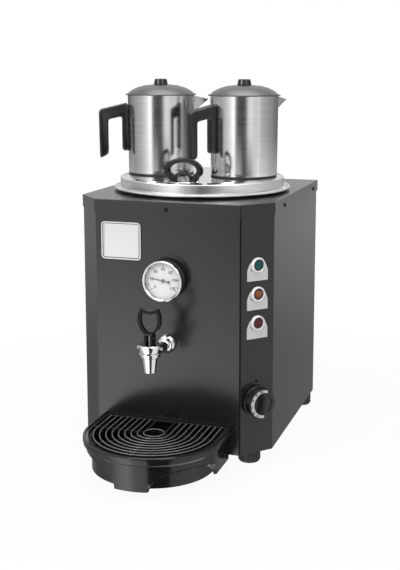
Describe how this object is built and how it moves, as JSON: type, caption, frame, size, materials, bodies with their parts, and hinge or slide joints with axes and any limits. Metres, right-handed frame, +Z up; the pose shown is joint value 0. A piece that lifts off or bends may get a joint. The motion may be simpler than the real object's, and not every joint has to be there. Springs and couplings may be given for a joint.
{
  "type": "hot water urn",
  "caption": "Black chamfered hot water urn with a self-closing tap, dial thermometer, pilot lamps, thermostat knob, hooked-on drip tray and teapots on its lid.",
  "frame": {"origin": "on the tank's axis, in the plane of the four foot soles", "axes": "+Z up along the tank's axis, -Y out of the front panel towards the user, +X to the user's right"},
  "size_m": [0.3471, 0.549, 0.6071],
  "materials": {
    "black_powder_coat": "satin",
    "zinc_sheet": "dull",
    "tank_steel": "satin",
    "lid_steel": "satin",
    "black_screw": "satin",
    "bright_chrome": "polished",
    "silver_plate": "satin",
    "brass": "satin",
    "dark_steel": "satin",
    "black_plastic": "matte",
    "rubber_seal": "matte",
    "black_gloss": "semi gloss",
    "grey_case": "satin",
    "ceramic_white": "matte",
    "white_plastic": "gloss",
    "white_print": "matte",
    "clear_glass": "clear",
    "green_lens": "gloss",
    "amber_lens": "gloss",
    "red_lens": "gloss"
  },
  "bodies": {
    "casing_body": {"base_plate": "zinc_sheet", "front_shell": "black_powder_coat", "control_shell": "black_powder_coat", "back_panel": "black_powder_coat", "top_cover": "black_powder_coat", "cover_screws": "black_screw", "back_screws": "black_screw", "name_plate": "silver_plate", "cable_gland": "black_plastic", "tank": "tank_steel", "tank_ring": "tank_steel", "tank_stand": "zinc_sheet", "heater_flange": "brass", "heater_element": "dark_steel", "safety_cutout": "black_plastic", "thermostat_body": "ceramic_white", "thermostat_bulb": "brass", "lamp_bodies": "black_plastic", "lamp_nuts": "zinc_sheet", "lamp_rings": "white_plastic", "lamp_labels": "white_print", "lens_green": "green_lens", "lens_amber": "amber_lens", "lens_red": "red_lens", "gauge_case": "grey_case", "gauge_bezel": "bright_chrome", "gauge_glass": "clear_glass", "gauge_dial": "white_print", "gauge_pocket": "brass", "tap_body": "bright_chrome", "tap_flange": "bright_chrome", "tap_bonnet": "bright_chrome", "tap_locknut": "brass", "tap_seal": "rubber_seal", "tray_hooks": "zinc_sheet"},
    "foot_front_left_body": {"foot_front_left": "black_plastic"},
    "foot_front_right_body": {"foot_front_right": "black_plastic"},
    "foot_rear_left_body": {"foot_rear_left": "black_plastic"},
    "foot_rear_right_body": {"foot_rear_right": "black_plastic"},
    "knob_body": {"knob": "black_plastic", "knob_scale": "silver_plate"},
    "pointer_body": {"gauge_pointer": "black_plastic"},
    "tap_stem_body": {"tap_stem": "brass", "tap_spring": "dark_steel"},
    "tap_handle_body": {"tap_handle": "black_plastic", "tap_pin": "bright_chrome"},
    "tray_body": {"tray_bowl": "black_gloss"},
    "grille_body": {"tray_grille": "black_gloss"},
    "main_lid_body": {"main_lid": "tank_steel"},
    "fill_cap_body": {"fill_cap": "tank_steel", "fill_handle": "black_plastic"},
    "pot_left_body": {"pot_left": "tank_steel", "pot_left_handle": "black_plastic"},
    "pot_left_lid_body": {"pot_left_lid": "lid_steel", "pot_left_knob": "black_plastic"},
    "pot_right_body": {"pot_right": "tank_steel", "pot_right_handle": "black_plastic"},
    "pot_right_lid_body": {"pot_right_lid": "lid_steel", "pot_right_knob": "black_plastic"}
  },
  "joints": [
    {"name": "foot_front_left_turn", "type": "hinge", "parent": "casing_body", "child": "foot_front_left_body", "pos_m": [-0.125, -0.138, 0.021], "axis": [0, 0, 1], "continuous": true},
    {"name": "foot_front_right_turn", "type": "hinge", "parent": "casing_body", "child": "foot_front_right_body", "pos_m": [0.125, -0.138, 0.021], "axis": [0, 0, 1], "continuous": true},
    {"name": "foot_rear_left_turn", "type": "hinge", "parent": "casing_body", "child": "foot_rear_left_body", "pos_m": [-0.143, 0.162, 0.021], "axis": [0, 0, 1], "continuous": true},
    {"name": "foot_rear_right_turn", "type": "hinge", "parent": "casing_body", "child": "foot_rear_right_body", "pos_m": [0.143, 0.162, 0.021], "axis": [0, 0, 1], "continuous": true},
    {"name": "knob_turn", "type": "hinge", "parent": "casing_body", "child": "knob_body", "pos_m": [0.14075, -0.157, 0.107], "axis": [-0.7425, 0.6699, 0], "range_deg": [0, 190]},
    {"name": "pointer_turn", "type": "hinge", "parent": "casing_body", "child": "pointer_body", "pos_m": [0, -0.198, 0.299], "axis": [0, 1, 0], "range_deg": [-40, 200], "stiffness_Nm_per_rad": 0.0005},
    {"name": "stem_rise", "type": "slide", "parent": "casing_body", "child": "tap_stem_body", "axis": [0, 0, 1], "range_m": [0, 0.00195], "stiffness_N_per_m": 500, "springref_m": -0.006, "deforming": ["tap_spring"]},
    {"name": "handle_pull", "type": "hinge", "parent": "tap_stem_body", "child": "tap_handle_body", "pos_m": [0, -0.256, 0.2234], "axis": [1, 0, 0], "range_deg": [0, 28]},
    {"name": "tray_lift", "type": "slide", "parent": "casing_body", "child": "tray_body", "axis": [0, 0, 1], "range_m": [0, 0.012]},
    {"name": "grille_lift", "type": "slide", "parent": "tray_body", "child": "grille_body", "axis": [0, 0, 1], "range_m": [0, 0.03]},
    {"name": "main_lid_lift", "type": "slide", "parent": "casing_body", "child": "main_lid_body", "axis": [0, 0, 1], "range_m": [0, 0.15]},
    {"name": "fill_cap_lift", "type": "slide", "parent": "main_lid_body", "child": "fill_cap_body", "axis": [0, 0, 1], "range_m": [0, 0.05]},
    {"name": "pot_left_lift", "type": "slide", "parent": "main_lid_body", "child": "pot_left_body", "axis": [0, 0, 1], "range_m": [0, 0.15]},
    {"name": "pot_left_lid_lift", "type": "slide", "parent": "pot_left_body", "child": "pot_left_lid_body", "axis": [0, 0, 1], "range_m": [0, 0.06]},
    {"name": "pot_right_lift", "type": "slide", "parent": "main_lid_body", "child": "pot_right_body", "axis": [0, 0, 1], "range_m": [0, 0.15]},
    {"name": "pot_right_lid_lift", "type": "slide", "parent": "pot_right_body", "child": "pot_right_lid_body", "axis": [0, 0, 1], "range_m": [0, 0.06]}
  ],
  "couplings": [
    {"joint": "handle_pull", "follows": "stem_rise", "rad_per_m": 250}
  ]
}
